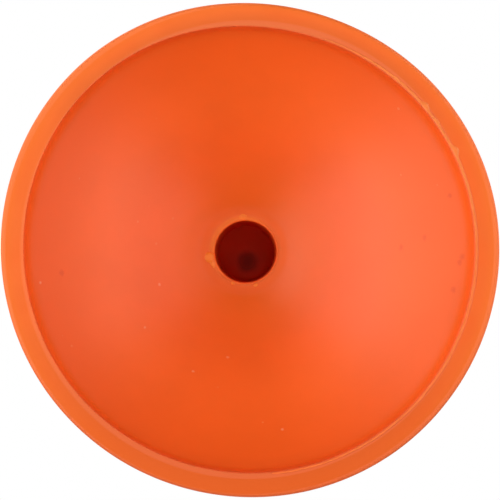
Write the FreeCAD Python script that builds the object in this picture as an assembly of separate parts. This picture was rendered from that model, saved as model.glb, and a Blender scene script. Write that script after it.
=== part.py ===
"""Sink plunger: a moulded rubber force cup with a turned beech handle pushed into its neck.

The plunger stands on the cup's sealing lip. The origin is the centre of the lip's flat face, and +Z
runs up the handle. Lengths are millimetres. Every outline is a list of (radius, height) points.

The cup is one moulding in rubber. It bends in two places, so it is made here as four solids that meet
face to face: the lip that stays down on the sink, the bell wall that squeezes, the root of the neck
that bends, and the neck's socket that grips the handle.
"""

import FreeCAD, Part  # noqa: E401  FreeCAD has to come first
import math
import os

from FreeCAD import Vector

OUT = "parts"

# --- driving dimensions -------------------------------------------------------------------------
CUP_RADIUS = 50.0  # the outside of the sealing lip: a 100 mm cup
MOUTH_RADIUS = 45.2  # inner edge of the lip's flat face
LIP_HEIGHT = 7.0
CEILING_HEIGHT = 36.9  # highest part of the inside, round the core hole
CORE_HOLE_RADIUS = 6.5  # blind hole in the ceiling, at its mouth
CORE_HOLE_TOP = 60.0
BELL_TOP = 42.0  # the bell wall ends and the root of the neck begins
NECK_ROOT_TOP = 50.0  # the root of the neck ends and the socket begins
NECK_TOP = 87.0
SHAFT_RADIUS = 11.0  # a 22 mm beech shaft
HANDLE_TOP = 310.0

# --- the lip and the bell's wall ----------------------------------------------------------------
LIP_ROUND = 0.7  # rounding of the lip's outer corners
SHELF_RADIUS = 46.6  # where the bell's outer wall leaves the lip
SHELF_RISE = 0.6
THROAT_WALL = (44.7, 4.8)  # top of the steep wall just inside the mouth
BELL_CROWN = (17.0, 36.8)  # the bell's outer wall ends, and the fillet into the neck begins
BELL_BULGE = 1.2
DOME_BULGE = 1.4  # how far the inside wall stands off a cone

# --- the blind core hole ------------------------------------------------------------------------
COLLAR_WIDTH = 0.9  # raised ring round the hole's mouth
COLLAR_DROP = 0.3
CORE_HOLE_STRAIGHT = 10.0  # the hole's wall is parallel this far in, and drafted above
CORE_HOLE_DRAFT = 0.6  # the hole is this much narrower at its top
CORE_DOME_RISE = 1.5
PIN_MARK_RADIUS = 1.5  # small recess left by the tip of the mould's core pin
PIN_MARK_DEPTH = 1.2

# --- the neck and its socket --------------------------------------------------------------------
NECK_RADIUS_LOW = 15.2
NECK_RADIUS_HIGH = 14.4
NECK_FILLET = 0.9
NECK_FILLET_TOP = 41.0  # the neck is straight from here up
BEAD_RADIUS = 16.0  # rolled bead round the neck's mouth
BEAD_HEIGHT = 7.0
BEAD_RISE = 1.4  # height of the slope under the bead
BEAD_ROUND = 1.6
SOCKET_BOTTOM = 64.0

# --- the handle and its barbed spigot -----------------------------------------------------------
BARB_COUNT = 4
BARB_PITCH = 5.0
BARB_ROOT_RADIUS = 8.7
BARB_CREST_RADIUS = 9.6
BARB_LEDGE = 0.6  # height of the short step on top of each barb
SPIGOT_NOSE = 1.0  # chamfer at the spigot's lower end
RUNNING_CLEARANCE = 0.06  # all round, between the spigot and the socket
SHOULDER_GAP = 0.05  # between the neck's mouth and the handle's shoulder
SHOULDER_CHAMFER = 1.2
GROOVE_HEIGHTS = (270.0, 274.0)  # two turned grooves below the hanging hole
GROOVE_HALF_WIDTH = 0.9
GROOVE_DEPTH = 0.8
HANG_HOLE_RADIUS = 3.0
HANG_HOLE_HEIGHT = 290.0
HANG_HOLE_FLARE = 0.6  # chamfer round both mouths of the hanging hole
DOME_END_RISE = 6.0


# --- outlines -----------------------------------------------------------------------------------
def at(point):
    """An (radius, height) pair as a point of the XZ plane."""
    return Vector(point[0], 0, point[1])


def line(start, end):
    return Part.LineSegment(at(start), at(end)).toShape()


def curve(start, end, bulge):
    """An arc from start to end that stands off its chord by bulge, to the right of the way it runs."""
    a, b = at(start), at(end)
    along = b - a
    across = Vector(along.z, 0, -along.x).normalize()
    middle = (a + b) * 0.5 + across * bulge
    return Part.Arc(a, middle, b).toShape()


def corner(start, end):
    """A quarter-round corner that turns from start to end, bulging to the right of the way it runs."""
    chord = math.hypot(end[0] - start[0], end[1] - start[1])
    return curve(start, end, chord * (math.sqrt(2) - 1) / 2)


def polyline(points):
    return [line(a, b) for a, b in zip(points, points[1:])]


def turned(edges):
    """The solid that a closed outline sweeps round the Z axis."""
    face = Part.Face(Part.Wire(edges))
    return face.revolve(Vector(0, 0, 0), Vector(0, 0, 1), 360)


def barbs(clearance):
    """The spigot's barbed side from its lower end up, as points, grown outwards by clearance."""
    root = BARB_ROOT_RADIUS + clearance
    crest = BARB_CREST_RADIUS + clearance
    points = []
    for n in range(BARB_COUNT):
        low = SOCKET_BOTTOM + SHOULDER_GAP + n * BARB_PITCH + SPIGOT_NOSE
        ledge = low + BARB_PITCH - BARB_LEDGE + clearance
        points += [(root, low), (crest, ledge - BARB_LEDGE), (crest, ledge), (root, ledge)]
    return points


# --- the rubber moulding ------------------------------------------------------------------------
def outer_skin():
    """Outside of the cup from the lip's face up to the rim of the neck's mouth."""
    shelf = (SHELF_RADIUS, LIP_HEIGHT)
    wall_foot = (SHELF_RADIUS, LIP_HEIGHT + SHELF_RISE)
    neck_foot = (NECK_RADIUS_LOW, NECK_FILLET_TOP)
    root_foot = (NECK_RADIUS_LOW, NECK_ROOT_TOP)
    bead_low = NECK_TOP - BEAD_HEIGHT
    neck_head = (NECK_RADIUS_HIGH, bead_low - BEAD_RISE)
    face_edge = (CUP_RADIUS - LIP_ROUND, 0)
    band_low = (CUP_RADIUS, LIP_ROUND)
    band_high = (CUP_RADIUS, LIP_HEIGHT - LIP_ROUND)
    shelf_edge = (CUP_RADIUS - LIP_ROUND, LIP_HEIGHT)
    bead_side = (BEAD_RADIUS, NECK_TOP - BEAD_ROUND)
    bead_top = (BEAD_RADIUS - BEAD_ROUND, NECK_TOP)
    return [
        line((MOUTH_RADIUS, 0), face_edge),
        corner(face_edge, band_low),
        line(band_low, band_high),
        corner(band_high, shelf_edge),
        line(shelf_edge, shelf),
        line(shelf, wall_foot),
        curve(wall_foot, BELL_CROWN, BELL_BULGE),
        curve(BELL_CROWN, neck_foot, -NECK_FILLET),
        line(neck_foot, root_foot),
        line(root_foot, neck_head),
        line(neck_head, (BEAD_RADIUS, bead_low)),
        line((BEAD_RADIUS, bead_low), bead_side),
        corner(bead_side, bead_top),
    ], bead_top


def socket_skin(start):
    """The barbed socket from the neck's mouth down to its floor on the axis."""
    side = barbs(RUNNING_CLEARANCE)
    mouth = (side[-1][0], NECK_TOP)
    floor_edge = (side[0][0], SOCKET_BOTTOM)
    return polyline([start, mouth, *reversed(side), floor_edge, (0, SOCKET_BOTTOM)])


def inner_skin():
    """From the tip of the blind hole down its wall, over the dome, and out to the mouth."""
    hole_radius = CORE_HOLE_RADIUS - CORE_HOLE_DRAFT
    pin_top = (0, CORE_HOLE_TOP + PIN_MARK_DEPTH)
    pin_edge = (PIN_MARK_RADIUS, CORE_HOLE_TOP + PIN_MARK_DEPTH)
    pin_foot = (PIN_MARK_RADIUS, CORE_HOLE_TOP)
    hole_head = (hole_radius, CORE_HOLE_TOP - CORE_DOME_RISE)
    hole_mouth = CEILING_HEIGHT - COLLAR_DROP
    draft_start = (CORE_HOLE_RADIUS, hole_mouth + CORE_HOLE_STRAIGHT)
    collar_inner = (CORE_HOLE_RADIUS, hole_mouth)
    collar_outer = (CORE_HOLE_RADIUS + COLLAR_WIDTH, hole_mouth)
    collar_root = (CORE_HOLE_RADIUS + COLLAR_WIDTH, CEILING_HEIGHT)
    return [
        *polyline([(0, SOCKET_BOTTOM), pin_top, pin_edge, pin_foot]),
        curve(pin_foot, hole_head, -CORE_DOME_RISE / 6),
        *polyline([hole_head, draft_start, collar_inner, collar_outer, collar_root]),
        curve(collar_root, THROAT_WALL, -DOME_BULGE),
        line(THROAT_WALL, (MOUTH_RADIUS, 0)),
    ]


def moulding():
    outside, bead_top = outer_skin()
    return turned([*outside, *socket_skin(bead_top), *inner_skin()])


def slab(low, high):
    """Everything between two heights, wide enough to hold the cup."""
    return Part.makeCylinder(2 * CUP_RADIUS, high - low, Vector(0, 0, low))


def cup_sections():
    """The moulding cut across at the heights where the rubber starts and stops bending."""
    whole = moulding()
    cuts = {
        "sealing_lip": (0, LIP_HEIGHT),
        "bell_wall": (LIP_HEIGHT, BELL_TOP),
        "neck_root": (BELL_TOP, NECK_ROOT_TOP),
        "neck_socket": (NECK_ROOT_TOP, NECK_TOP),
    }
    return {name: whole.common(slab(low, high)) for name, (low, high) in cuts.items()}


# --- the handle ---------------------------------------------------------------------------------
def groove(height):
    """A V-shaped groove turned into the shaft, from its lower edge to its upper one."""
    return [
        (SHAFT_RADIUS, height - GROOVE_HALF_WIDTH),
        (SHAFT_RADIUS - GROOVE_DEPTH, height),
        (SHAFT_RADIUS, height + GROOVE_HALF_WIDTH),
    ]


def handle_blank():
    """The turned handle: barbed spigot, shoulder, shaft with two grooves and a domed end."""
    shoulder = NECK_TOP + SHOULDER_GAP
    nose = SOCKET_BOTTOM + SHOULDER_GAP
    side = barbs(0)
    points = [
        (0, nose),
        (BARB_ROOT_RADIUS - SPIGOT_NOSE, nose),
        *side,
        (BARB_ROOT_RADIUS, shoulder),
        (SHAFT_RADIUS - SHOULDER_CHAMFER, shoulder),
        (SHAFT_RADIUS, shoulder + SHOULDER_CHAMFER),
    ]
    for height in GROOVE_HEIGHTS:
        points += groove(height)
    dome_foot = (SHAFT_RADIUS, HANDLE_TOP - DOME_END_RISE)
    points.append(dome_foot)
    dome_radius = (SHAFT_RADIUS**2 + DOME_END_RISE**2) / (2 * DOME_END_RISE)
    half_turn = math.asin(SHAFT_RADIUS / dome_radius) / 2
    dome_bulge = dome_radius * (1 - math.cos(half_turn))
    dome = curve(dome_foot, (0, HANDLE_TOP), dome_bulge)
    return turned([*polyline(points), dome, line((0, HANDLE_TOP), (0, nose))])


def hanging_hole():
    """A hole across the shaft along Y, with a small flare at both mouths."""
    through = Part.makeCylinder(
        HANG_HOLE_RADIUS, 4 * SHAFT_RADIUS, Vector(0, -2 * SHAFT_RADIUS, HANG_HOLE_HEIGHT), Vector(0, 1, 0)
    )
    for side in (-1, 1):
        mouth = Vector(0, side * SHAFT_RADIUS, HANG_HOLE_HEIGHT)
        flare = Part.makeCone(
            HANG_HOLE_RADIUS + HANG_HOLE_FLARE, HANG_HOLE_RADIUS, HANG_HOLE_FLARE, mouth, Vector(0, -side, 0)
        )
        through = through.fuse(flare)
    return through


def handle():
    return handle_blank().cut(hanging_hole())


def main():
    os.makedirs(OUT, exist_ok=True)
    pieces = {**cup_sections(), "handle": handle()}
    for name, shape in pieces.items():
        solid = shape.Solids[0]
        if len(shape.Solids) != 1 or not solid.isValid():
            raise RuntimeError(f"{name} is not one valid solid")
        solid.exportStep(os.path.join(OUT, f"{name}.step"))
        print(f"{name}: {solid.Volume / 1000:.2f} cm3")


main()
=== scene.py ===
"""A sink plunger: a moulded rubber force cup with a turned beech handle in its neck.

Everything is in metres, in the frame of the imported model: the plunger stands on its sealing lip at
height 0 and +Z runs up the handle. Outlines are runs of (radius, height) points turned round Z.
"""

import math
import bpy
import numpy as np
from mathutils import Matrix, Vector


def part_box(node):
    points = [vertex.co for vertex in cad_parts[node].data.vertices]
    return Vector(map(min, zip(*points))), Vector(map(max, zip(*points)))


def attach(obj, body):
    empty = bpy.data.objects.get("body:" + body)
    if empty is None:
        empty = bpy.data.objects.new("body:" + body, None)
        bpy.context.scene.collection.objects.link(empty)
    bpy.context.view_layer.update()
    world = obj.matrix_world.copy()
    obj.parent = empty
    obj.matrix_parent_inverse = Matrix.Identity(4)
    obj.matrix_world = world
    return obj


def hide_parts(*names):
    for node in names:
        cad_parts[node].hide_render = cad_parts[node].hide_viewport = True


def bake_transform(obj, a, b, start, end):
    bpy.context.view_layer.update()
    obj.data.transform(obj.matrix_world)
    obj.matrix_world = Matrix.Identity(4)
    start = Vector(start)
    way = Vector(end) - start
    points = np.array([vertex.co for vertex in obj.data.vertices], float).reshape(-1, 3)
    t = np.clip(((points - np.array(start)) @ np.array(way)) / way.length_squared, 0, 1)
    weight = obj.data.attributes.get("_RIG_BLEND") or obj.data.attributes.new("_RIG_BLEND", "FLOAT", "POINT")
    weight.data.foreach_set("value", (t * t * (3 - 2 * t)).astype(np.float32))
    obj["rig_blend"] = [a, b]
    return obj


bl_info = {
    "name": "Sink Plunger",
    "version": (1, 0, 0),
    "blender": (4, 5, 0),
    "location": "3D View > Sidebar > Plunger",
    "description": "Builds a rubber sink plunger with a turned wooden handle",
    "category": "Add Mesh",
}

import bmesh
import bpy
from mathutils import Matrix, Vector, noise

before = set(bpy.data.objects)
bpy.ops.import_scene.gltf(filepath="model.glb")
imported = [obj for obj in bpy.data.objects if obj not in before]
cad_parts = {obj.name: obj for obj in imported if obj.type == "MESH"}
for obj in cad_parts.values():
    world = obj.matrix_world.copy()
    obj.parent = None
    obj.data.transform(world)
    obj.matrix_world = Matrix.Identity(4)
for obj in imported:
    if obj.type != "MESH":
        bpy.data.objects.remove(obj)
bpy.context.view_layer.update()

_, LIP_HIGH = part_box("sealing_lip")
_, BELL_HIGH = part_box("bell_wall")
ROOT_LOW, ROOT_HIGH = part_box("neck_root")
_, SOCKET_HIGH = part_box("neck_socket")
HANDLE_LOW, HANDLE_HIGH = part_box("handle")

MM = 0.001
FULL_TURN = 2 * math.pi

BARB_COUNT = 4
LIP_STEPS = 8  # rings of faces across the lip's face
CORNER_STEPS = 5  # rings of faces round each outer corner of the lip
GROOVES = (270 * MM, 274 * MM)  # heights of the two turned grooves
GROOVE_EDGE = 1.1 * MM  # from a groove's middle to the plain shaft
SHOULDER_ROUND = 1.2 * MM  # rounding of the shaft's lower edge
PARTING_RIDGE = 0.16 * MM  # how far the mould's parting line stands out
SPIGOT_GAP = 0.05 * MM  # between the socket's floor and the spigot's lower end
HOLE_END_RISE = 1.5 * MM  # height of the curve that closes the blind hole
SHARP_BEND = math.radians(40)  # edges that turn more than this stay crisp

# How far the mould's core sat off the axis at the mouth, at the ceiling and at the tip of its pin.
CORE_AT_MOUTH = Vector((-0.19, -0.12, 0)) * MM
CORE_AT_CEILING = Vector((-0.83, 0.41, 0)) * MM
CORE_AT_PIN = Vector((-0.73, 0.9, 0)) * MM
PIN_MARK_OFFSET = Vector((0.3, 1.6, 0)) * MM  # from the hole's own end
COLLAR_OFFSET = Vector((-0.3, -0.25, 0)) * MM  # of the raised ring's outer edge, from the hole
# How far the soft lip is from round: number of waves, mm outwards, and the angle of a peak.
OVAL = ((2, 0.35, 26), (3, 0.14, -13), (4, 0.09, -31))

# Angles are in degrees from +X towards +Y.
FLASH_SPAN = (-70, 84)  # where the mouth's flash was left on
# Lumps along that flash: angle, mm added to its radius, and half width in degrees.
FLASH_LUMPS = ((-49, 0.12, 0.8), (-39, 0.35, 1.0), (-34, 0.15, 0.6), (-25.5, 0.5, 0.9))
# Nubs of flash at the ring: angle, mm from the hole's own middle, half length and half width in mm.
COLLAR_NUBS = (
    (171, 8.0, 1.3, 1.15),
    (163, 7.5, 0.7, 1.5),
    (-94.6, 7.5, 0.65, 1.0),
    (73, 7.5, 0.5, 0.65),
    (112, 7.2, 0.4, 0.5),
)
# Specks stuck to the inside wall: mm from the core's own middle, and angle.
LINT = ((42.6, 171), (19.4, 159), (27.3, 114), (22.4, 100), (37.4, 79), (26.4, 143), (37.2, -157))
GRIT = ((38.2, 173), (42.4, -15), (36.2, -4), (31.6, -1), (43.4, 2), (43.0, 3.5), (42.4, 11))
LINT_REACH, GRIT_REACH = 0.45 * MM, 0.95 * MM  # how far a speck shows from its middle

# The middle of the tree's growth rings at height 0, how it slants with height, and the rings' pitch.
PITH_X, PITH_Y = -24 * MM, 33 * MM
SLANT_X, SLANT_Y = -0.035, 0.045
RADIANS_PER_METRE = 2900  # a growth ring for every full turn


# --- sizes and colours that a user may change ---------------------------------------------------
def length(name, description, default):
    return bpy.props.FloatProperty(
        name=name, description=description, default=default, min=0.0, unit="LENGTH", precision=5
    )


def share(name, description, default):
    return bpy.props.FloatProperty(
        name=name, description=description, default=default, min=0.0, max=1.0, subtype="FACTOR"
    )


def colour(name, description, default):
    return bpy.props.FloatVectorProperty(
        name=name, description=description, default=default, min=0.0, max=1.0, size=3, subtype="COLOR"
    )


class CupSizes(bpy.types.PropertyGroup):
    cup_radius: length("Cup radius", "Outside of the sealing lip", LIP_HIGH.x)
    lip_height: length("Lip height", "Height of the sealing lip's band", LIP_HIGH.z)
    lip_round: length("Lip rounding", "Rounding of the lip's outer corners", 0.7 * MM)
    mouth_radius: length("Mouth radius", "Inner edge of the lip's flat face", 45.2 * MM)
    mouth_round: length("Mouth rounding", "Rounding of the lip's inner edge", 0.12 * MM)
    lip_hollow: length("Lip hollow", "How much higher the lip's face is at its inner edge", 0.15 * MM)
    shelf_radius: length("Shelf radius", "Where the bell's outer wall leaves the lip", BELL_HIGH.x)
    shelf_rise: length("Shelf rise", "Straight foot of the bell's outer wall", 0.6 * MM)
    throat_radius: length("Throat radius", "Top of the steep wall inside the mouth", 44.7 * MM)
    throat_height: length("Throat height", "Height of the steep wall inside the mouth", 4.8 * MM)
    crown_radius: length("Crown radius", "Where the bell's outer wall ends", 17.0 * MM)
    crown_height: length("Crown height", "Height where the bell's outer wall ends", 36.8 * MM)
    bell_bulge: length("Bell bulge", "How far the outer wall stands off a cone", 1.2 * MM)
    dome_bulge: length("Dome bulge", "How far the inside wall stands off a cone", 1.4 * MM)
    ceiling_height: length("Ceiling height", "Height of the inside round the core hole", 36.9 * MM)
    hole_radius: length("Hole radius", "Blind core hole, at its mouth", 6.5 * MM)
    hole_straight: length("Straight wall", "The hole's wall is parallel this far in", 10.0 * MM)
    hole_draft: length("Hole draft", "How much narrower the hole is at its top", 0.6 * MM)
    hole_top: length("Hole top", "Height of the blind hole's end", 60.0 * MM)
    collar_width: length("Collar width", "Width of the raised ring round the hole", 0.9 * MM)
    collar_drop: length("Collar drop", "How far the ring stands off the ceiling", 0.3 * MM)
    collar_round: length("Collar rounding", "Rounding of the hole's mouth", 0.25 * MM)
    pin_mark_radius: length("Pin mark radius", "Recess at the blind hole's end", 1.5 * MM)
    pin_mark_depth: length("Pin mark depth", "Depth of that recess", 1.2 * MM)


class NeckSizes(bpy.types.PropertyGroup):
    foot_radius: length("Foot radius", "Outside of the neck at its root", ROOT_HIGH.x)
    head_radius: length("Head radius", "Outside of the neck below its bead", 14.4 * MM)
    fillet: length("Fillet", "How far the fillet between bell and neck curves in", 0.9 * MM)
    fillet_top: length("Fillet top", "The neck is straight from this height up", 41.0 * MM)
    bead_height: length("Bead height", "Height of the rolled bead", 7.0 * MM)
    bead_rise: length("Bead rise", "Height of the slope under the bead", 1.4 * MM)
    bead_round: length("Bead rounding", "Rounding of the bead's top", 1.6 * MM)
    socket_floor: length("Socket floor", "Height of the socket's floor", 64.0 * MM)
    clearance: length("Clearance", "Room all round the spigot", 0.06 * MM)


class HandleSizes(bpy.types.PropertyGroup):
    shaft_radius: length("Shaft radius", "The plain shaft", HANDLE_HIGH.x)
    shoulder: length("Shoulder height", "Where the shaft's shoulder meets the neck", 87.05 * MM)
    barb_root: length("Barb root", "Radius between the spigot's barbs", 8.7 * MM)
    barb_crest: length("Barb crest", "Radius over the spigot's barbs", 9.6 * MM)
    barb_pitch: length("Barb pitch", "Height of one barb", 5.0 * MM)
    barb_ledge: length("Barb ledge", "Height of the step on top of a barb", 0.6 * MM)
    nose: length("Spigot nose", "Chamfer at the spigot's lower end", 1.0 * MM)
    groove_depth: length("Groove depth", "Depth of the turned grooves", 0.8 * MM)
    hole_radius: length("Hanging hole radius", "Hole across the end of the handle", 3.0 * MM)
    hole_drop: length("Hanging hole drop", "Distance of the hole below the handle's end", 20.0 * MM)
    end_rise: length("End rise", "Height of the domed end", 6.0 * MM)


class RubberFinish(bpy.types.PropertyGroup):
    rubber: colour("Rubber", "Moulded surface", (0.94, 0.134, 0.011))
    lip: colour("Lip", "Rubbed face of the sealing lip", (1.0, 0.168, 0.022))
    # Painted shade: a darker lip colour laid over the lip's face towards +Y.
    lip_shade: colour("Shade", "Dull side of the lip's face", (0.80, 0.105, 0.004))
    flash: colour("Flash", "Thin torn rubber at the mould's seams", (0.98, 0.23, 0.04))
    grit: colour("Grit", "Grains of dirt rubbed into the inside", (0.68, 0.045, 0.003))
    lint: colour("Lint", "Pale dust stuck to the inside", (0.95, 0.36, 0.20))
    # Painted shade: a deeper orange towards the mouth.
    bell: colour("Bell", "Deeper shade out towards the mouth", (0.93, 0.105, 0.003))
    # Painted shade: a duller, yellower orange near the hole.
    crown: colour("Crown", "Yellower shade near the hole", (0.86, 0.175, 0.013))
    # Painted shade in the corner of the steep wall inside the mouth.
    throat: colour("Throat", "Steep wall just inside the mouth", (0.2, 0.05, 0.01))
    # Painted shade on one side of the hole's wall and in the pin's recess at its end.
    hole: colour("Hole", "Dark side of the hole's wall, and its pin's mark", (0.1, 0.0, 0.0))
    # Paler ring colour: a little all round, and as a painted highlight on its -X -Y side.
    ring: colour("Ring", "Raised ring round the hole", (1.0, 0.22, 0.015))
    # Redder lip colour: in random patches, and as painted shade towards +X.
    lip_tone_and_shading: colour("Rubbed lip", "Redder side of the lip's face", (1.0, 0.12, 0.008))
    # Painted light: a brighter, more saturated orange where light shines through the lip's thin outer edge.
    rim: colour("Rim", "Outer edge of the lip's face", (1.0, 0.185, 0.016))
    dust: colour("Dust", "Fine dust in patches", (0.95, 0.45, 0.22))
    torn: colour("Torn", "Flash at the ring round the hole", (1.0, 0.31, 0.02))
    roughness: share("Roughness", "Roughness of the moulded surface", 0.42)


class BeechFinish(bpy.types.PropertyGroup):
    early: colour("Pale wood", "Wood between the growth rings", (0.68, 0.44, 0.235))
    late: colour("Dark wood", "Wood of the growth rings", (0.50, 0.28, 0.13))
    fleck: colour("Flecks", "Short dark rays of the beech", (0.27, 0.125, 0.05))
    roughness: share("Roughness", "Roughness under the lacquer", 0.62)


# --- outlines and meshes ------------------------------------------------------------------------
class Outline:
    """A run of (radius, height) points."""

    def __init__(self, radius, height):
        self.points = [Vector((radius, height))]

    def line(self, radius, height, steps=1):
        start, end = self.points[-1], Vector((radius, height))
        self.points += [start.lerp(end, n / steps) for n in range(1, steps + 1)]
        return self

    def arc(self, radius, height, bulge, steps):
        """An arc that stands off its chord by bulge, to the right of the way it runs."""
        start = self.points[-1]
        chord = Vector((radius, height)) - start
        across = Vector((chord.y, -chord.x)).normalized()
        turn = 4 * math.atan(2 * bulge / chord.length)
        bend = chord.length / (2 * math.sin(turn / 2))
        for n in range(1, steps + 1):
            swing = turn * (n / steps - 0.5)
            along = 0.5 + bend * math.sin(swing) / chord.length
            off = bulge - bend * (1 - math.cos(swing))
            self.points.append(start + chord * along + across * off)
        return self

    def corner(self, radius, height, steps, side=1):
        """A quarter-round corner, bulging to the right of the way it runs, or to the left for side -1."""
        chord = (Vector((radius, height)) - self.points[-1]).length
        return self.arc(radius, height, side * chord * (math.sqrt(2) - 1) / 2, steps)

    def eased(self, first, times):
        """Softens the bends from point number first on, by averaging each point with its neighbours."""
        for _ in range(times):
            run = self.points[first:]
            middles = [(a + b * 2 + c) / 4 for a, b, c in zip(run, run[1:], run[2:])]
            self.points[first + 1 : -1] = middles
        return self

    def turned(self, steps, closed=False, core_from=None, core_over=1):
        """A mesh of the outline turned once round Z. Its points from core_from on were shaped by the core."""
        bm = bmesh.new()
        cored = bm.verts.layers.float.new("cored")
        verts = [bm.verts.new((p.x, 0, p.y)) for p in self.points]
        if core_from is not None:
            for n, v in enumerate(verts):
                v[cored] = min(max((n - core_from) / core_over, 0.0), 1.0)
        ring = [*verts, verts[0]] if closed else verts
        edges = [bm.edges.new(pair) for pair in zip(ring, ring[1:])]
        bmesh.ops.spin(
            bm, geom=verts + edges, cent=(0, 0, 0), axis=(0, 0, 1), angle=FULL_TURN, steps=steps,
            use_merge=True,
        )
        bmesh.ops.remove_doubles(bm, verts=bm.verts, dist=0.001 * MM)
        bmesh.ops.dissolve_degenerate(bm, edges=bm.edges, dist=0.001 * MM)
        bmesh.ops.recalc_face_normals(bm, faces=bm.faces)
        return bm


def smooth(value, low, high):
    """0 below low, 1 above high, and a smooth step between them."""
    t = min(max((value - low) / (high - low), 0.0), 1.0)
    return t * t * (3 - 2 * t)


def object_from(bm, name, *materials):
    """A finished piece from a mesh in the row frame."""
    for face in bm.faces:
        face.smooth = True
    for edge in bm.edges:
        edge.smooth = edge.calc_face_angle(0) < SHARP_BEND
    if "cored" in bm.verts.layers.float:
        bm.verts.layers.float.remove(bm.verts.layers.float["cored"])
    mesh = bpy.data.meshes.new(name)
    bm.to_mesh(mesh)
    bm.free()
    for material in materials:
        mesh.materials.append(material)
    piece = bpy.data.objects.new(name, mesh)
    bpy.context.scene.collection.objects.link(piece)
    return piece


def tube(points, radii, sides=2):
    """A mesh tube along points in the row frame, with a radius at each point and closed ends."""
    curve = bpy.data.curves.new("tube", "CURVE")
    curve.dimensions = "3D"
    curve.bevel_depth = 1.0
    curve.bevel_resolution = sides
    curve.use_fill_caps = True
    spline = curve.splines.new("POLY")
    spline.points.add(len(points) - 1)
    for spot, point, radius in zip(spline.points, points, radii):
        spot.co = (*point, 1)
        spot.radius = radius
    holder = bpy.data.objects.new("tube", curve)
    mesh = bpy.data.meshes.new_from_object(holder)
    bm = bmesh.new()
    bm.from_mesh(mesh)
    bpy.data.objects.remove(holder)
    bpy.data.curves.remove(curve)
    bpy.data.meshes.remove(mesh)
    bmesh.ops.remove_doubles(bm, verts=bm.verts, dist=0.001 * MM)
    bmesh.ops.recalc_face_normals(bm, faces=bm.faces)
    return bm


def added(bm, other):
    """Adds another mesh's shells to bm."""
    mesh = bpy.data.meshes.new("shell")
    other.to_mesh(mesh)
    other.free()
    bm.from_mesh(mesh)
    bpy.data.meshes.remove(mesh)


def polar(radius, angle, height):
    """A point of the row frame from a radius, an angle in degrees from +X towards +Y, and a height."""
    turn = math.radians(angle)
    return Vector((radius * math.cos(turn), radius * math.sin(turn), height))


# --- node material helpers ----------------------------------------------------------------------
class Number:
    """A number that a node gives. Arithmetic on it adds Math nodes."""

    def __init__(self, finish, socket):
        self.finish, self.socket = finish, socket

    def math(self, operation, *values):
        made = self.finish.node("ShaderNodeMath", {"operation": operation}, *values)
        return Number(self.finish, made.outputs[0])

    def __add__(self, other):
        return self.math("ADD", self, other)

    def __mul__(self, other):
        return self.math("MULTIPLY", self, other)

    def __sub__(self, other):
        return self.math("SUBTRACT", self, other)

    def __rsub__(self, other):
        return self.math("SUBTRACT", other, self)

    __radd__ = __add__
    __rmul__ = __mul__

    def root(self):
        return self.math("SQRT", self)

    def sine(self):
        return self.math("SINE", self)

    def between(self, low, high):
        """0 at low, 1 at high, with a smooth step between them. High may be the smaller one."""
        settings = {"interpolation_type": "SMOOTHSTEP"}
        made = self.finish.node("ShaderNodeMapRange", settings, self, low, high, 0.0, 1.0)
        return Number(self.finish, made.outputs["Result"])


class Finish:
    """A material in the making."""

    def __init__(self, name):
        self.material = bpy.data.materials.new(name)
        self.material.use_nodes = True
        self.tree = self.material.node_tree
        self.tree.nodes.clear()
        self.place = self.node("ShaderNodeTexCoord").outputs["Object"]
        apart = self.node("ShaderNodeSeparateXYZ", {}, self.place)
        self.x, self.y, self.z = (Number(self, apart.outputs[n]) for n in range(3))

    def node(self, kind, settings=None, *values, **named):
        """Adds a node: its settings first, then its sockets by order or by name."""
        made = self.tree.nodes.new(kind)
        for key, value in (settings or {}).items():
            setattr(made, key, value)
        sockets = dict(enumerate(values)) | {key.replace("_", " "): value for key, value in named.items()}
        for key, value in sockets.items():
            self.fill(made.inputs[key], value)
        return made

    def fill(self, socket, value):
        if isinstance(value, Number):
            value = value.socket
        if isinstance(value, bpy.types.NodeSocket):
            self.tree.links.new(value, socket)
        elif socket.type == "RGBA" and len(value) == 3:
            socket.default_value = (*value, 1.0)
        else:
            socket.default_value = value

    def radius(self):
        """Distance from the Z axis."""
        return (self.x * self.x + self.y * self.y).root()

    def stretched(self, x, y, z):
        """Object coordinates scaled along each axis."""
        return self.node("ShaderNodeMapping", {}, Vector=self.place, Scale=(x, y, z)).outputs[0]

    def noise(self, scale, detail=2.0, place=None):
        """Cloudy noise between about 0 and 1, with scale features in a metre."""
        made = self.node("ShaderNodeTexNoise", {}, Vector=place or self.place, Scale=scale, Detail=detail)
        return Number(self, made.outputs["Fac"])

    def cells(self, scale, place=None):
        """Distance to the nearest of scattered points, with scale cells in a metre."""
        made = self.node("ShaderNodeTexVoronoi", {}, Vector=place or self.place, Scale=scale)
        return Number(self, made.outputs["Distance"])

    def spot(self, middle):
        """Distance from a point."""
        away = self.node("ShaderNodeVectorMath", {"operation": "DISTANCE"}, self.place, middle)
        return Number(self, away.outputs["Value"])

    def specks(self, spots, reach, cup):
        """1 at each of the spots on the inside wall, and 0 from a ragged reach away."""
        ragged = (self.noise(1500) - 0.5) * reach
        found = 0
        for radius, angle in spots:
            found += (self.spot(on_dome(radius * MM, angle, cup)) + ragged).between(reach, 0.2 * reach)
        return found

    def mixed(self, share, first, second):
        """A colour that goes from first to second as share goes from 0 to 1."""
        made = self.node("ShaderNodeMix", {"data_type": "RGBA"})
        self.fill(made.inputs["Factor"], share)
        self.fill(made.inputs[6], first)
        self.fill(made.inputs[7], second)
        return made.outputs[2]

    def bump(self, height, distance, strength):
        """A normal that a height between 0 and 1 raises by distance."""
        return self.node("ShaderNodeBump", {}, Strength=strength, Distance=distance, Height=height).outputs[0]

    def surface(self, **sockets):
        """Ends the material in a Principled surface and returns it."""
        shader = self.node("ShaderNodeBsdfPrincipled")
        for key, value in sockets.items():
            self.fill(shader.inputs[key.replace("_", " ")], value)
        self.node("ShaderNodeOutputMaterial", {}, shader.outputs[0])
        return self.material


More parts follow.
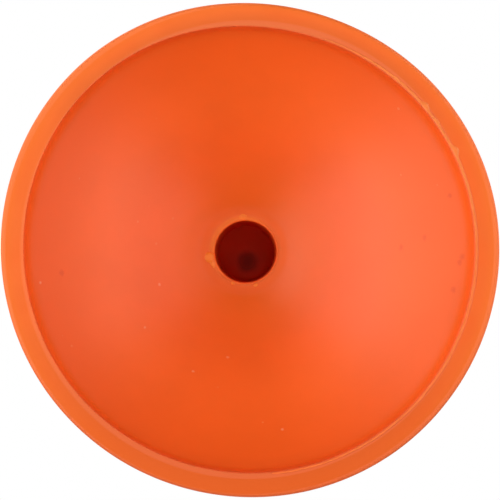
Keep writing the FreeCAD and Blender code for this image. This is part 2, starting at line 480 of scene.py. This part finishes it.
# --- materials ----------------------------------------------------------------------------------
def moulded_rubber(look, cup):
    """Satin orange rubber with grain, specks and a rubbed lip, with painted shade towards the mouth, in the
    throat, near and in the hole and on the lip, a painted highlight on the raised ring, and a painted glow at
    the lip's outer edge.
    """
    f = Finish("moulded_rubber")
    clouds = f.noise(55, detail=3)
    grain = f.noise(900, detail=2)
    on_face = f.z.between(0.6 * MM, 0.25 * MM)
    deep = [c * 0.96 for c in look.rubber]
    pale = [min(1.0, c * 1.04) for c in look.rubber]
    moulded = f.mixed(clouds.between(0.3, 0.7), deep, pale)
    # Painted shade: the moulded colour deepens towards the mouth, less on the +X side.
    outwards = f.radius().between(28 * MM, 44 * MM) * (0.6 - 0.45 * f.x.between(15 * MM, 42 * MM))
    moulded = f.mixed(outwards, moulded, look.bell)
    below_ceiling = f.z.between(37.3 * MM, 36.9 * MM)
    # Painted shade: near the hole the moulded colour turns duller and yellower.
    near_hole = f.radius().between(22 * MM, 8 * MM) * below_ceiling
    moulded = f.mixed(near_hole * 0.5, moulded, look.crown)
    # Painted shade: the corner of the steep wall inside the mouth is darkened.
    in_throat = f.radius().between(46.0 * MM, 45.5 * MM) * f.z.between(8 * MM, 4 * MM)
    moulded = f.mixed(in_throat * 0.08, moulded, look.throat)
    # Painted shade: one side of the hole's wall and the recess at the hole's end are darkened.
    in_hole = f.radius().between(9 * MM, 8 * MM) * f.z.between(37 * MM, 39 * MM)
    pin_mark = Vector((0, 0, cup.hole_top)) + CORE_AT_PIN + PIN_MARK_OFFSET
    shadowed = in_hole * (f.x + f.y).between(-8 * MM, 8 * MM)
    dark = shadowed * 0.1 + f.spot(pin_mark).between(3 * MM, 1 * MM) * 0.45
    moulded = f.mixed(dark, moulded, look.hole)
    ring = CORE_AT_CEILING + COLLAR_OFFSET
    beside, along = f.x - ring.x, f.y - ring.y
    from_ring = (beside * beside + along * along).root()
    # The raised ring is a little paler all round, with a painted highlight on its -X -Y side.
    on_ring = from_ring.between(7.6 * MM, 7.0 * MM) * f.z.between(36.2 * MM, 36.5 * MM) * below_ceiling
    on_ring = on_ring * (0.1 + (f.x + f.y).between(2 * MM, -8 * MM) * 0.75)
    moulded = f.mixed(on_ring, moulded, look.ring)
    moulded = f.mixed(f.specks(GRIT, GRIT_REACH, cup) * 0.38, moulded, look.grit)
    moulded = f.mixed(f.specks(LINT, LINT_REACH, cup) * 0.8, moulded, look.lint)
    # The lip reddens in random patches, and as painted shade towards +X.
    redder = f.noise(160, detail=4).between(0.35, 0.75) * 0.3 + f.x.between(-20 * MM, 50 * MM) * 0.4
    lip_tone_and_shading = f.mixed(redder, look.lip, look.lip_tone_and_shading)
    lip_tone_and_shading = f.mixed(f.noise(75, detail=3).between(0.45, 0.7) * 0.3, lip_tone_and_shading, [c * 0.86 for c in look.lip])
    # Painted shade: the inner half of the lip's face is darker, except near the X axis.
    inner = f.radius().between(48.5 * MM, 45.5 * MM) * (f.y * f.y).between(0, (38 * MM) ** 2)
    lip_tone_and_shading = f.mixed(inner * 0.7, lip_tone_and_shading, [c * 0.8 for c in look.lip])
    # Painted light: the lip's outer edge glows a more saturated orange, as if lit through the thin rubber.
    outer = f.radius().between(47 * MM, 50 * MM)
    lip_tone_and_shading = f.mixed(outer * 0.7, lip_tone_and_shading, look.rim)
    # Painted shade: the lip's face darkens towards +Y.
    lip_tone_and_shading = f.mixed(f.y.between(5 * MM, 52 * MM) * 0.85, lip_tone_and_shading, look.lip_shade)
    shade = f.mixed(on_face, moulded, lip_tone_and_shading)
    mouth_edge = f.radius().between(46.2 * MM, 45.9 * MM)
    worn_edge = (f.radius().between(49.0 * MM, 49.4 * MM) + mouth_edge) * f.z.between(1.1 * MM, 0.7 * MM)
    dust = f.cells(260).between(0.10, 0.05) * f.noise(45).between(0.55, 0.7)
    shade = f.mixed(dust * 0.35, shade, look.dust)
    rough = look.roughness + 0.06 * (clouds - 0.5) + 0.05 * (grain - 0.5) - 0.05 * on_face
    rough = rough + 0.35 * worn_edge + 0.35 * from_ring.between(10 * MM, 8.5 * MM) * below_ceiling
    return f.surface(
        Base_Color=shade,
        Roughness=rough,
        IOR=1.65,
        Normal=f.bump(grain * 0.6 + f.noise(320) * 0.4, 0.05 * MM, 0.5),
    )


def beech(look):
    """Lacquered beech: faint growth rings that run off at a slant, fine pores and short dark ray flecks."""
    f = Finish("beech")
    drift = f.noise(14, detail=2, place=f.stretched(1, 1, 0.25)) - 0.5
    off_x = f.x - PITH_X - f.z * SLANT_X + drift * 0.006
    off_y = f.y - PITH_Y - f.z * SLANT_Y + drift * 0.004
    from_pith = (off_x * off_x + off_y * off_y).root()
    late_wood = ((from_pith * RADIANS_PER_METRE + f.noise(60) * 1.2).sine() * 0.5 + 0.5).between(0.35, 1.0)
    pores = f.noise(2600, detail=2, place=f.stretched(1, 1, 0.02))
    wood = f.mixed(late_wood * 0.45 + pores.between(0.35, 0.75) * 0.4, look.early, look.late)
    patches = f.noise(30, detail=3, place=f.stretched(1, 1, 0.3))
    wood = f.mixed(patches.between(0.35, 0.75) * 0.35, wood, [c * 0.82 for c in look.early])
    rays = f.cells(900, place=f.stretched(1, 1, 0.16)).between(0.24, 0.10)
    wood = f.mixed(rays * (0.35 + patches * 0.5), wood, look.fleck)
    handled = f.noise(70, detail=3).between(0.45, 0.7) * f.z.between(0.14, 0.2)
    wood = f.mixed(handled * 0.16, wood, look.fleck)
    return f.surface(
        Base_Color=wood,
        Roughness=look.roughness + 0.10 * (pores - 0.5) + 0.10 * rays + 0.12 * handled,
        Specular_IOR_Level=0.3,
        Coat_Weight=0.04,
        Coat_Roughness=0.6,
        Normal=f.bump(pores * 0.7 - rays * 0.3, 0.06 * MM, 0.5),
    )


def thin_flash(look):
    """Thin rubber let past the mould's edge, paler than the body where it was torn."""
    f = Finish("thin_flash")
    faded = f.noise(700, detail=3).between(0.35, 0.65) * 0.4 + f.y.between(-18 * MM, 4 * MM) * 0.6
    shade = f.mixed(faded, look.flash, look.lip)
    shade = f.mixed(f.z.between(20 * MM, 36 * MM) * 0.6, shade, look.torn)
    return f.surface(Base_Color=shade, Roughness=0.5 + 0.2 * (f.noise(1500) - 0.5))


def rubber_material(context):
    scene = context.scene
    return bpy.data.materials.get("moulded_rubber") or moulded_rubber(scene.plunger_rubber, scene.plunger_cup)


def flash_material(context):
    return bpy.data.materials.get("thin_flash") or thin_flash(context.scene.plunger_rubber)


# --- the rubber cup -----------------------------------------------------------------------------
def cup_outside(cup, neck):
    """From the seam at the root of the neck down over the bell to the lip's outer bottom corner."""
    run = Outline(neck.foot_radius, BELL_HIGH.z)
    run.line(neck.foot_radius, neck.fillet_top, 2)
    run.arc(cup.crown_radius, cup.crown_height, neck.fillet, 8)
    run.arc(cup.shelf_radius, cup.lip_height + cup.shelf_rise, -cup.bell_bulge, 40)
    run.line(cup.shelf_radius, cup.lip_height)
    run.line(cup.cup_radius - cup.lip_round, cup.lip_height, 3)
    run.corner(cup.cup_radius, cup.lip_height - cup.lip_round, CORNER_STEPS, side=-1)
    run.line(cup.cup_radius, cup.lip_round, 6)
    run.corner(cup.cup_radius - cup.lip_round, 0, CORNER_STEPS, side=-1)
    return run


def dome_wall(run, cup):
    """The inside wall from the top of the steep throat to the raised ring round the hole."""
    return run.arc(cup.hole_radius + cup.collar_width, cup.ceiling_height, cup.dome_bulge, 70)


def cup_inside(run, cup):
    """On from the lip's face up the throat, over the dome and the ring and into the blind hole."""
    hollow = cup.lip_hollow
    run.line(cup.mouth_radius + cup.mouth_round, hollow, LIP_STEPS)
    run.corner(cup.mouth_radius, hollow + cup.mouth_round, 4)
    throat = len(run.points)
    run.line(cup.throat_radius, cup.throat_height, 8)
    dome_wall(run, cup)
    run.eased(throat, 3)
    before_ring = len(run.points) - 2
    top = cup.ceiling_height - cup.collar_drop
    run.line(cup.hole_radius + 0.6 * cup.collar_width, top + 0.1 * cup.collar_drop, 4)
    run.line(cup.hole_radius + cup.collar_round, top, 4)
    run.line(cup.hole_radius, top + cup.collar_round, 3)
    run.line(hole_wall(cup, top + 1 * MM), top + 1 * MM, 3)
    run.eased(before_ring, 5)
    run.line(hole_wall(cup, BELL_HIGH.z), BELL_HIGH.z, 6)
    return run


def draft_start(cup):
    """Height where the blind hole's parallel wall ends and its draft begins."""
    return cup.ceiling_height - cup.collar_drop + cup.hole_straight


def hole_wall(cup, height):
    """Radius of the blind hole's wall at a height: parallel at first, then drafted."""
    straight = draft_start(cup)
    return cup.hole_radius - cup.hole_draft * max(height - straight, 0) / (cup.hole_top - straight)


def core_shift(height, cup):
    """How far the mould's core sat off the axis: at the mouth, at the ceiling, and at its pin's tip."""
    if height > cup.ceiling_height:
        bent = smooth(height, cup.ceiling_height + cup.hole_straight, cup.hole_top)
        mark = PIN_MARK_OFFSET * smooth(height, cup.hole_top - HOLE_END_RISE, cup.hole_top)
        return CORE_AT_CEILING.lerp(CORE_AT_PIN, bent) + mark
    return CORE_AT_MOUTH.lerp(CORE_AT_CEILING, height / cup.ceiling_height)


def out_of_round(place, cup):
    """The soft lip isn't quite a circle: how far a point moves outwards, less and less up to the crown."""
    angle = math.atan2(place.y, place.x)
    swing = sum(size * math.cos(waves * (angle - math.radians(peak))) for waves, size, peak in OVAL)
    outwards = Vector((place.x, place.y, 0)).normalized()
    return outwards * swing * MM * smooth(cup.crown_height - place.z, 0, cup.crown_height)


def set_off_centre(bm, cup):
    """Moves what the core shaped off the axis, and the whole piece a little out of round."""
    cored = bm.verts.layers.float["cored"]
    ring = cup.hole_radius + cup.collar_width
    for v in bm.verts:
        radius = v.co.xy.length
        slip = smooth(radius, cup.hole_radius, ring) * (1 - smooth(radius, ring, 2 * ring))
        v.co += (core_shift(v.co.z, cup) + COLLAR_OFFSET * slip) * v[cored] + out_of_round(v.co, cup)


def uneven(bm, size, amount):
    """Raises and lowers the surface by up to about amount, in patches of about size."""
    bm.normal_update()
    moves = [v.normal * noise.noise(v.co / size) * amount for v in bm.verts]
    for v, move in zip(bm.verts, moves):
        v.co += move


def nub(place, long, wide, angle):
    """A torn tab of flash: broad at the ring, pointed outwards, and thin."""
    bm = bmesh.new()
    bmesh.ops.create_uvsphere(bm, u_segments=20, v_segments=12, radius=1.0)
    for v in bm.verts:
        v.co.y *= wide * (1 - 0.55 * max(v.co.x, 0))
        v.co.x *= long
        v.co.z *= 0.45 * MM
    turn = Matrix.Rotation(math.radians(angle), 4, "Z")
    bmesh.ops.transform(bm, matrix=Matrix.Translation(place) @ turn, verts=bm.verts)
    return bm


def dome_height(radius, cup):
    """Height of the inside wall at a radius, taken from its own outline."""
    wall = dome_wall(Outline(cup.throat_radius, cup.throat_height), cup)
    nearest = min(wall.points, key=lambda p: abs(p.x - radius))
    return nearest.y


def on_dome(radius, angle, cup):
    point = polar(radius, angle, dome_height(radius, cup))
    return point + core_shift(point.z, cup)


def squeeze_weights(piece, cup):
    """The bell follows the neck fully at its crown and not at all at the lip, evenly by radius."""
    span = cup.throat_radius - cup.crown_radius
    weights = [min(max((cup.throat_radius - v.co.xy.length) / span, 0), 1) for v in piece.data.vertices]
    piece.data.attributes["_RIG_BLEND"].data.foreach_set("value", weights)


class PLUNGER_OT_cup(bpy.types.Operator):
    """Builds the rubber cup from its lip to the root of the neck"""

    bl_idname = "plunger.cup"
    bl_label = "Cup"

    def execute(self, context):
        cup, neck = context.scene.plunger_cup, context.scene.plunger_neck
        run = cup_outside(cup, neck)
        lip_edge = len(run.points) - 1
        bm = cup_inside(run, cup).turned(320, closed=True, core_from=lip_edge, core_over=LIP_STEPS)
        uneven(bm, 16 * MM, 0.025 * MM)
        set_off_centre(bm, cup)
        for v in bm.verts:
            v.co.z = max(v.co.z, 0.0)
        above_corner = cup_outside(cup, neck).points[: -CORNER_STEPS - 1]
        for angle in (0, 180):
            line = [polar(p.x, angle, p.y) for p in above_corner]
            added(bm, tube(line, [PARTING_RIDGE] * len(line)))
        moulding = len(bm.faces)
        for angle, out, long, wide in COLLAR_NUBS:
            added(bm, nub(on_dome(out * MM, angle, cup), long * MM, wide * MM, angle))
        bm.faces.ensure_lookup_table()
        for face in bm.faces[moulding:]:
            face.material_index = 1
        piece = object_from(bm, "cup", rubber_material(context), flash_material(context))
        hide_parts("sealing_lip", "bell_wall")
        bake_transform(piece, "cup", "crown", start=(0, 0, cup.throat_height), end=(0, 0, cup.crown_height))
        squeeze_weights(piece, cup)
        return {"FINISHED"}


class PLUNGER_OT_flash(bpy.types.Operator):
    """Builds the untrimmed moulding flash along one side of the mouth"""

    bl_idname = "plunger.flash"
    bl_label = "Moulding flash"

    def execute(self, context):
        cup = context.scene.plunger_cup
        first, last = FLASH_SPAN
        steps = 2 * (last - first)
        points, radii = [], []
        for n in range(steps + 1):
            angle = first + n / 2
            ragged = noise.noise(Vector((angle * 0.4, 0, 0)))
            lump = sum(size * math.exp(-(((angle - at) / wide) ** 2)) for at, size, wide in FLASH_LUMPS)
            taper = smooth(angle, first, -45) * (1 - 0.75 * smooth(angle, 0, last))
            half = (0.10 + 0.17 * taper + 0.05 * ragged + lump) * MM
            wander = 0.08 * MM * noise.noise(Vector((angle * 0.15, 7, 0)))
            place = polar(cup.mouth_radius + 0.2 * MM + 0.9 * half + wander, angle, half)
            points.append(place + core_shift(0, cup) + out_of_round(place, cup))
            radii.append(half)
        bm = tube(points, radii, sides=5)
        bmesh.ops.scale(bm, vec=(1, 1, 0.3), verts=bm.verts)
        piece = object_from(bm, "lip_flash", flash_material(context))
        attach(piece, "cup")
        return {"FINISHED"}


# --- the neck -----------------------------------------------------------------------------------
def barbs(run, handle, floor, clearance):
    """The barbed side of the spigot, or of the socket with clearance, from its lower end up."""
    root, crest = handle.barb_root + clearance, handle.barb_crest + clearance
    for n in range(BARB_COUNT):
        low = floor + n * handle.barb_pitch + handle.nose
        ledge = low + handle.barb_pitch - handle.barb_ledge + clearance
        run.line(root, low).line(crest, ledge - handle.barb_ledge).line(crest, ledge).line(root, ledge)
    return run


def neck_outline(neck, cup, handle):
    """From the socket's floor up its barbed wall, over the bead, down outside and up the blind hole."""
    top, bead = SOCKET_HIGH.z, SOCKET_HIGH.x
    run = Outline(0, neck.socket_floor)
    run.line(handle.barb_root + neck.clearance, neck.socket_floor)
    barbs(run, handle, neck.socket_floor + SPIGOT_GAP, neck.clearance)
    run.line(handle.barb_root + neck.clearance, top)
    run.line(bead - neck.bead_round, top, 4)
    run.corner(bead, top - neck.bead_round, 8)
    low = top - neck.bead_height
    run.line(bead, low + 1.0 * MM, 3)
    run.corner(bead - 0.7 * MM, low - 0.1 * MM, 5)
    run.line(neck.head_radius + 0.25 * MM, low - neck.bead_rise * 0.8)
    run.line(neck.head_radius, low - neck.bead_rise - 0.3 * MM)
    run.line(neck.foot_radius, ROOT_HIGH.z, 14)
    run.line(neck.foot_radius, ROOT_LOW.z, 10)
    seam = len(run.points) - 1
    run.line(hole_wall(cup, ROOT_LOW.z), ROOT_LOW.z, 3)
    run.line(cup.hole_radius, draft_start(cup), 4)
    run.line(hole_wall(cup, cup.hole_top - HOLE_END_RISE), cup.hole_top - HOLE_END_RISE, 8)
    run.arc(cup.pin_mark_radius, cup.hole_top, 0.5 * MM, 5)
    run.line(cup.pin_mark_radius, cup.hole_top + cup.pin_mark_depth)
    run.line(0, cup.hole_top + cup.pin_mark_depth)
    return run, seam


class PLUNGER_OT_neck(bpy.types.Operator):
    """Builds the neck with its rolled bead, its barbed socket and the end of the blind hole"""

    bl_idname = "plunger.neck"
    bl_label = "Neck"

    def execute(self, context):
        scene = context.scene
        cup, neck = scene.plunger_cup, scene.plunger_neck
        run, seam = neck_outline(neck, cup, scene.plunger_handle)
        bm = run.turned(192, core_from=seam)
        set_off_centre(bm, cup)
        low, bead_low = ROOT_LOW.z, SOCKET_HIGH.z - neck.bead_height
        side = [
            (neck.foot_radius, low),
            (neck.foot_radius, ROOT_HIGH.z),
            (neck.head_radius, bead_low - neck.bead_rise),
            (SOCKET_HIGH.x, bead_low + 0.8 * MM),
            (SOCKET_HIGH.x, SOCKET_HIGH.z - neck.bead_round),
            (SOCKET_HIGH.x - neck.bead_round, SOCKET_HIGH.z),
        ]
        for angle in (0, 180):
            added(bm, tube([polar(r, angle, z) for r, z in side], [PARTING_RIDGE] * len(side)))
        piece = object_from(bm, "neck", rubber_material(context))
        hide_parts("neck_root", "neck_socket")
        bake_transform(piece, "crown", "neck", start=(0, 0, ROOT_LOW.z), end=(0, 0, ROOT_HIGH.z))
        return {"FINISHED"}


# --- the handle ---------------------------------------------------------------------------------
def handle_outline(handle):
    shaft, top = handle.shaft_radius, HANDLE_HIGH.z
    floor = HANDLE_LOW.z
    run = Outline(0, floor)
    run.line(handle.barb_root - handle.nose, floor)
    barbs(run, handle, floor, 0)
    run.line(handle.barb_root, handle.shoulder)
    run.line(shaft - SHOULDER_ROUND, handle.shoulder, 2)
    run.arc(shaft, handle.shoulder + SHOULDER_ROUND, 0.25 * MM, 5)
    below = run.points[-1].y
    for height in GROOVES:
        run.line(shaft, height - GROOVE_EDGE, max(1, round((height - below) / (9 * MM))))
        run.arc(shaft - 0.15 * MM, height - 0.8 * MM, 0.05 * MM, 2)
        run.line(shaft - handle.groove_depth, height - 0.1 * MM)
        run.line(shaft - handle.groove_depth, height + 0.1 * MM)
        run.line(shaft - 0.15 * MM, height + 0.8 * MM)
        run.arc(shaft, height + GROOVE_EDGE, 0.05 * MM, 2)
        below = height
    run.line(shaft, top - handle.end_rise, round((top - handle.end_rise - below) / MM))
    before_rim = len(run.points) - 4
    dome = (shaft**2 + handle.end_rise**2) / (2 * handle.end_rise)
    run.arc(0, top, dome * (1 - math.cos(math.asin(shaft / dome) / 2)), 20)
    return run.eased(before_rim, 2)


def cut_away(piece, cutter):
    """Cuts one object's solid out of another's mesh and removes the cutter."""
    boolean = piece.modifiers.new("cut", "BOOLEAN")
    boolean.operation, boolean.solver, boolean.object = "DIFFERENCE", "EXACT", cutter
    graph = bpy.context.evaluated_depsgraph_get()
    mesh = bpy.data.meshes.new_from_object(piece.evaluated_get(graph))
    piece.modifiers.clear()
    old, piece.data = piece.data, mesh
    mesh.name = old.name
    bpy.data.meshes.remove(old)
    bpy.data.objects.remove(cutter)


def hanging_hole(handle):
    """The waisted cutter of the hanging hole: a cylinder along Y that flares at both mouths."""
    reach, flare = handle.shaft_radius + 4 * MM, 0.6 * MM
    run = Outline(0, -reach)
    run.line(handle.hole_radius + flare + 3 * MM, -reach)
    run.arc(handle.hole_radius, -handle.shaft_radius + 1.4 * MM, -0.6 * MM, 8)
    run.line(handle.hole_radius, handle.shaft_radius - 1.4 * MM, 2)
    run.arc(handle.hole_radius + flare + 3 * MM, reach, -0.6 * MM, 8)
    run.line(0, reach)
    bm = run.turned(64)
    height = HANDLE_HIGH.z - handle.hole_drop
    place = Matrix.Translation((0, 0, height)) @ Matrix.Rotation(math.pi / 2, 4, "X")
    bmesh.ops.transform(bm, matrix=place, verts=bm.verts)
    return bm


class PLUNGER_OT_handle(bpy.types.Operator):
    """Builds the turned beech handle with its barbed spigot, two grooves and a hanging hole"""

    bl_idname = "plunger.handle"
    bl_label = "Handle"

    def execute(self, context):
        scene = context.scene
        handle = scene.plunger_handle
        bm = handle_outline(handle).turned(128)
        for v in bm.verts:
            if v.co.z > handle.shoulder + 2 * MM:
                v.co.xy *= 1 + 0.004 * noise.noise(Vector((0, 0, v.co.z * 60)))
        piece = object_from(bm, "handle_turned", beech(scene.plunger_beech))
        cutter = object_from(hanging_hole(handle), "cutter")
        cut_away(piece, cutter)
        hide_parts("handle")
        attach(piece, "handle")
        return {"FINISHED"}


# --- stage --------------------------------------------------------------------------------------
class StageSettings(bpy.types.PropertyGroup):
    camera_distance: length("Camera distance", "From the lip's face", 0.75)
    view_radius: length("View radius", "Half the width of the view at the lip's face", 50.26 * MM)


def softbox(name, place, target, size, power):
    """A rectangular area lamp that the camera can't see, turned towards target."""
    data = bpy.data.lights.new(name, "AREA")
    data.shape = "RECTANGLE"
    data.size, data.size_y = size
    data.energy = power
    lamp = bpy.data.objects.new(name, data)
    lamp.location = place
    lamp.rotation_euler = (Vector(target) - Vector(place)).to_track_quat("-Z", "Y").to_euler()
    lamp.visible_camera = False
    bpy.context.scene.collection.objects.link(lamp)


def floor_material():
    """Pale floor that fades to white far out and can't be seen from below."""
    f = Finish("pale_floor")
    matt = f.node("ShaderNodeBsdfDiffuse", {}, Color=(0.86, 0.86, 0.86))
    white = f.node("ShaderNodeEmission", {}, Color=(1, 1, 1), Strength=1.0)
    clear = f.node("ShaderNodeBsdfTransparent")
    far = f.radius().between(0.35, 1.6)
    seen = f.node("ShaderNodeMixShader", {}, far, matt.outputs[0], white.outputs[0])
    below = f.node("ShaderNodeNewGeometry").outputs["Backfacing"]
    one_sided = f.node("ShaderNodeMixShader", {}, below, seen.outputs[0], clear.outputs[0])
    f.node("ShaderNodeOutputMaterial", {}, one_sided.outputs[0])
    return f.material


def white_world():
    """White to the camera, and a dim even fill to everything else."""
    world = bpy.data.worlds.new("studio")
    world.use_nodes = True
    tree = world.node_tree
    tree.nodes.clear()
    fill = tree.nodes.new("ShaderNodeBackground")
    fill.inputs["Strength"].default_value = 0.05
    seen = tree.nodes.new("ShaderNodeBackground")
    ray = tree.nodes.new("ShaderNodeLightPath")
    mix = tree.nodes.new("ShaderNodeMixShader")
    out = tree.nodes.new("ShaderNodeOutputWorld")
    for node in (fill, seen):
        node.inputs["Color"].default_value = (1, 1, 1, 1)
    tree.links.new(ray.outputs["Is Camera Ray"], mix.inputs[0])
    tree.links.new(fill.outputs[0], mix.inputs[1])
    tree.links.new(seen.outputs[0], mix.inputs[2])
    tree.links.new(mix.outputs[0], out.inputs[0])
    bpy.context.scene.world = world


class PLUNGER_OT_stage(bpy.types.Operator):
    """Makes the floor, the lamps and the camera that looks up into the cup"""

    bl_idname = "plunger.stage"
    bl_label = "Stage"

    def execute(self, context):
        scene = context.scene
        stage = scene.plunger_stage
        scene.view_settings.view_transform = "Standard"
        white_world()

        bm = bmesh.new()
        bmesh.ops.create_circle(bm, cap_ends=True, radius=3.0, segments=96)
        floor = object_from(bm, "floor", floor_material())
        for ray in ("visible_diffuse", "visible_glossy", "visible_transmission", "visible_shadow"):
            setattr(floor, ray, False)

        cup_middle = (0, 0, 0.01)
        softbox("under_left", (-0.5, 0.0, -0.38), cup_middle, (1.05, 0.5), 5.4)
        softbox("under_right", (0.5, 0.02, -0.38), cup_middle, (0.95, 0.5), 3.85)
        handle_middle = (0, 0, 0.15)
        softbox("key", (-0.9, -0.9, 1.0), handle_middle, (1.0, 1.0), 25)
        softbox("fill", (1.1, -0.7, 0.7), handle_middle, (1.1, 1.1), 13)
        softbox("back", (0.1, 1.1, 1.1), handle_middle, (1.4, 1.2), 12)

        data = bpy.data.cameras.new("camera")
        data.sensor_width = 36.0
        data.lens = data.sensor_width / 2 * stage.camera_distance / stage.view_radius
        data.clip_start, data.clip_end = 0.01, 20.0
        camera = bpy.data.objects.new("camera", data)
        camera.location = (0.1 * MM, 0.06 * MM, -stage.camera_distance)
        camera.rotation_euler = (math.pi, 0, 0)
        scene.collection.objects.link(camera)
        scene.camera = camera
        return {"FINISHED"}


# --- sidebar and registration -------------------------------------------------------------------
SETTINGS = {
    "plunger_cup": CupSizes,
    "plunger_neck": NeckSizes,
    "plunger_handle": HandleSizes,
    "plunger_rubber": RubberFinish,
    "plunger_beech": BeechFinish,
    "plunger_stage": StageSettings,
}
OPERATORS = (PLUNGER_OT_cup, PLUNGER_OT_flash, PLUNGER_OT_neck, PLUNGER_OT_handle, PLUNGER_OT_stage)


class PLUNGER_PT_sidebar(bpy.types.Panel):
    """Lists the plunger's pieces, with the sizes and colours that each one reads"""

    bl_idname = "PLUNGER_PT_sidebar"
    bl_label = "Sink Plunger"
    bl_space_type = "VIEW_3D"
    bl_region_type = "UI"
    bl_category = "Plunger"

    def draw(self, context):
        for operator in OPERATORS:
            self.layout.operator(operator.bl_idname, text=operator.bl_label)
        for attribute in SETTINGS:
            settings = getattr(context.scene, attribute)
            box = self.layout.box()
            for name in settings.__annotations__:
                box.prop(settings, name)


def register():
    for attribute, settings in SETTINGS.items():
        bpy.utils.register_class(settings)
        setattr(bpy.types.Scene, attribute, bpy.props.PointerProperty(type=settings))
    for cls in (*OPERATORS, PLUNGER_PT_sidebar):
        bpy.utils.register_class(cls)


def unregister():
    for cls in (PLUNGER_PT_sidebar, *reversed(OPERATORS)):
        bpy.utils.unregister_class(cls)
    for attribute, settings in SETTINGS.items():
        delattr(bpy.types.Scene, attribute)
        bpy.utils.unregister_class(settings)


def main():
    register()
    bpy.ops.plunger.cup()
    bpy.ops.plunger.flash()
    bpy.ops.plunger.neck()
    bpy.ops.plunger.handle()
    bpy.ops.plunger.stage()


if __name__ == "__main__":
    main()
